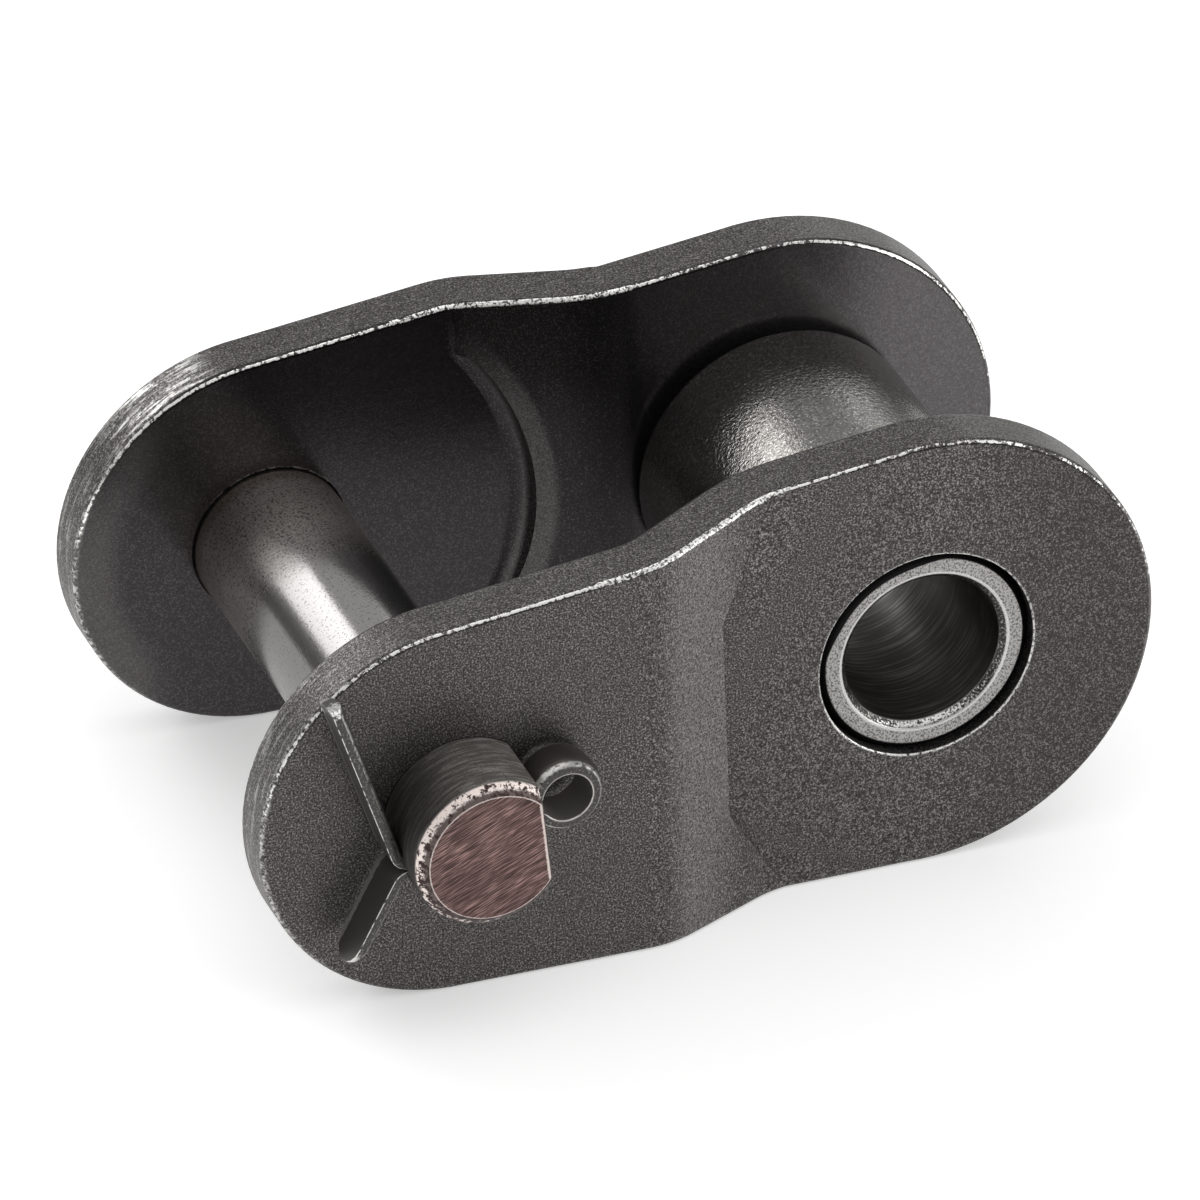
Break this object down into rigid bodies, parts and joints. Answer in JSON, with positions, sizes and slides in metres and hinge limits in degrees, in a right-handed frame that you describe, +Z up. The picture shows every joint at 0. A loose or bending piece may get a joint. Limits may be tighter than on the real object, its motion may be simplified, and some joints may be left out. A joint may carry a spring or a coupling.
{
  "type": "roller chain offset link",
  "caption": "Cranked roller chain link that joins a chain at an odd pitch: bush and roller at its narrow end, flatted pin with a cotter at its wide end.",
  "frame": {"origin": "middle of the bush's bore", "axes": "+X along the link from its pin end to its bush end, level with the ground it stands on; +Y along the pin and the bush, from the cotter's side to the far side; +Z up"},
  "size_m": [0.0475, 0.0343, 0.0238],
  "materials": {
    "plate": "blackened, shot-peened",
    "bush": "turned, hardened",
    "roller": "satin, shot-peened",
    "pin": "ground, copper-tinted near end",
    "cotter": "bare drawn wire"
  },
  "bodies": {
    "link": {"near_plate": "plate", "far_plate": "plate", "bush": "bush", "pin": "pin", "cotter": "cotter"},
    "roller": {"roller": "roller"}
  },
  "joints": [
    {"name": "roller_spin", "type": "hinge", "parent": "link", "child": "roller", "pos_m": [0, 0, 0], "axis": [0, 1, 0], "continuous": true}
  ]
}
